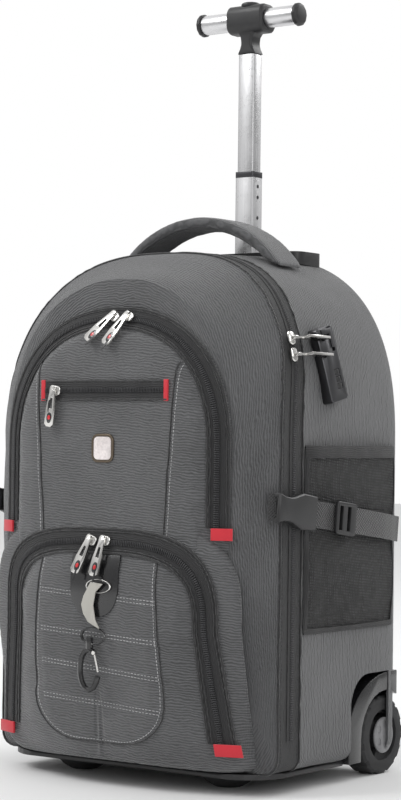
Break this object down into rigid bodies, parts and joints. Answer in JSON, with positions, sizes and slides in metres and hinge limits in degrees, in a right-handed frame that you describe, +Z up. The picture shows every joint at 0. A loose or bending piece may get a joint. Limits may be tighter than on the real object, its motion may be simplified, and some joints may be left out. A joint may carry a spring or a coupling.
{
  "type": "rolling backpack",
  "caption": "Soft backpack on wheels with a telescopic T-shaped pull handle, zipped front pockets, side mesh pockets, compression straps and a combination lock.",
  "frame": {"origin": "on the floor, under the centre of the box that holds the object", "axes": "+Z up, -Y towards the front pockets, +X towards the side with the combination lock"},
  "size_m": [0.3538, 0.3002, 0.7711],
  "materials": {
    "grey_nylon": "ribbed nylon cloth, matt",
    "black_nylon": "black woven tape and cloth, matt",
    "red_cloth": "red woven tab, matt",
    "black_mesh": "open black mesh with a bound top",
    "black_webbing": "black ribbed webbing",
    "grey_webbing": "light grey ribbed webbing with black edges",
    "padded_cloth": "black padded cloth",
    "black_plastic": "moulded, fine texture",
    "gloss_black": "moulded, glossy",
    "badge_face": "plain pale enamel",
    "grip": "ribbed grip",
    "wheel": "moulded wheel with a chunky tread",
    "chrome": "polished, slightly worn",
    "tube": "bright anodised tube",
    "gunmetal": "satin gunmetal"
  },
  "bodies": {
    "bag": {"back_shell": "grey_nylon", "front_shell": "grey_nylon", "upper_pocket": "grey_nylon", "lower_pocket": "grey_nylon", "grab_handle": "grey_nylon", "main_zip_band": "black_nylon", "upper_zip_band": "black_nylon", "slim_zip_band": "black_nylon", "lower_zip_band": "black_nylon", "upper_zip_tab_right": "red_cloth", "upper_zip_tab_left": "red_cloth", "slim_zip_tab_right": "red_cloth", "slim_zip_tab_left": "red_cloth", "lower_zip_tab_right": "red_cloth", "lower_zip_tab_left": "red_cloth", "side_mesh_pocket_right": "black_mesh", "side_mesh_pocket_left": "black_mesh", "rear_strap_right": "black_webbing", "rear_strap_left": "black_webbing", "front_strap_right": "black_webbing", "front_strap_left": "black_webbing", "hook_strap": "grey_webbing", "shoulder_strap_right": "padded_cloth", "shoulder_strap_left": "padded_cloth", "buckle_right": "black_plastic", "buckle_left": "black_plastic", "ladder_slider_right": "black_plastic", "ladder_slider_left": "black_plastic", "handle_cradle": "black_plastic", "base_tray": "black_plastic", "front_foot_right": "black_plastic", "front_foot_left": "black_plastic", "wheel_housing_right": "black_plastic", "wheel_housing_left": "black_plastic", "badge_rim": "gloss_black", "slider_patch": "gloss_black", "snap_hook": "gloss_black", "badge_face": "badge_face", "upper_slider_right": "chrome", "upper_slider_left": "chrome", "lower_slider_right": "chrome", "lower_slider_left": "chrome", "slim_slider": "chrome", "main_slider_upper": "chrome", "main_slider_lower": "chrome", "wire_ring": "chrome", "lock_body": "gunmetal"},
    "lower_tube_body": {"lower_tube": "tube"},
    "pull_handle": {"upper_tube": "tube", "handle_head": "black_plastic", "grip_right": "grip", "grip_left": "grip"},
    "button": {"head_button": "gloss_black"},
    "wheel_right_body": {"wheel_right": "wheel"},
    "wheel_left_body": {"wheel_left": "wheel"},
    "dial_1": {"lock_dial_1": "black_plastic"},
    "dial_2": {"lock_dial_2": "black_plastic"},
    "dial_3": {"lock_dial_3": "black_plastic"},
    "latch": {"lock_latch": "gunmetal"},
    "gate": {"hook_gate": "chrome"}
  },
  "joints": [
    {"name": "lower_tube_slide", "type": "slide", "parent": "bag", "child": "lower_tube_body", "axis": [0, 0, 1], "range_m": [-0.087, 0.12]},
    {"name": "upper_tube_slide", "type": "slide", "parent": "lower_tube_body", "child": "pull_handle", "axis": [0, 0, 1], "range_m": [-0.118, 0.115]},
    {"name": "head_button_press", "type": "slide", "parent": "pull_handle", "child": "button", "axis": [0, 0, -1], "range_m": [0, 0.003], "stiffness_N_per_m": 500, "springref_m": -0.001},
    {"name": "wheel_right_spin", "type": "hinge", "parent": "bag", "child": "wheel_right_body", "pos_m": [0.1471, 0.11215, 0.0378], "axis": [1, 0, 0], "continuous": true},
    {"name": "wheel_left_spin", "type": "hinge", "parent": "bag", "child": "wheel_left_body", "pos_m": [-0.1471, 0.11215, 0.0378], "axis": [1, 0, 0], "continuous": true},
    {"name": "lock_dial_1_spin", "type": "hinge", "parent": "bag", "child": "dial_1", "pos_m": [0.16616, 0.00679, 0.38898], "axis": [-0.1539, -0.1949, 0.9687], "continuous": true},
    {"name": "lock_dial_2_spin", "type": "hinge", "parent": "bag", "child": "dial_2", "pos_m": [0.1672, 0.00811, 0.38239], "axis": [-0.1539, -0.1949, 0.9687], "continuous": true},
    {"name": "lock_dial_3_spin", "type": "hinge", "parent": "bag", "child": "dial_3", "pos_m": [0.16825, 0.00944, 0.3758], "axis": [-0.1539, -0.1949, 0.9687], "continuous": true},
    {"name": "lock_latch_slide", "type": "slide", "parent": "bag", "child": "latch", "axis": [-0.1539, -0.1949, 0.9687], "range_m": [0, 0.005]},
    {"name": "hook_gate_swing", "type": "hinge", "parent": "bag", "child": "gate", "pos_m": [0.00479, -0.14665, 0.12607], "axis": [0, 1, 0], "range_deg": [0, 25], "stiffness_Nm_per_rad": 0.02, "springref_deg": -11.46}
  ]
}
